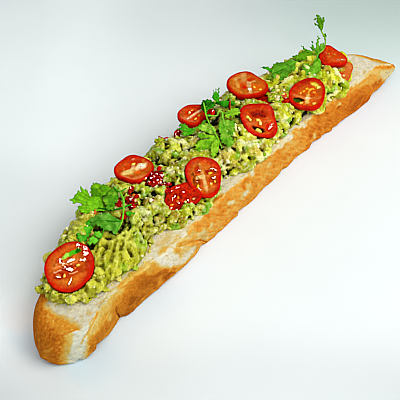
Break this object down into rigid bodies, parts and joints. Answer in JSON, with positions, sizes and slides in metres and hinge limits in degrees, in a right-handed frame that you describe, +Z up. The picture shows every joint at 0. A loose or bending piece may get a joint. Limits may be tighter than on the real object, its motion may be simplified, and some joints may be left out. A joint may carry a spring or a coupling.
{
  "type": "avocado toast",
  "caption": "Long slice of crusty bread under chunky mashed avocado, topped with small tomato slices and sprigs of coriander leaf.",
  "frame": {"origin": "bottom centre of the whole part's bounding box, on the surface the bread rests on", "axes": "+Z up, +X along the bread from the blunt near end to the tapered far end, +Y across it"},
  "size_m": [0.3234, 0.0652, 0.0661],
  "materials": {
    "bread": "baked crust, golden to brown, with a pale crumb on the cut face",
    "avocado": "moist chunky mash, yellow-green to cream",
    "tomato": "wet cut face with seeds, glossy red skin at the edge",
    "herb": "soft satin green leaf with fine veins"
  },
  "bodies": {
    "root": {"bread": "bread", "avocado_mash": "avocado", "tomato_slice_1": "tomato", "tomato_slice_2": "tomato", "tomato_slice_3": "tomato", "tomato_slice_4": "tomato", "tomato_slice_5": "tomato", "tomato_slice_6": "tomato", "tomato_slice_7": "tomato", "tomato_slice_8": "tomato", "tomato_slice_9": "tomato", "tomato_slice_10": "tomato", "tomato_slice_11": "tomato", "tomato_chunk_1": "tomato", "tomato_chunk_2": "tomato", "tomato_chunk_3": "tomato", "tomato_chunk_4": "tomato", "coriander_sprig_near": "herb", "coriander_sprig_middle": "herb", "coriander_sprig_far": "herb", "coriander_leaf_far": "herb"}
  },
  "joints": []
}
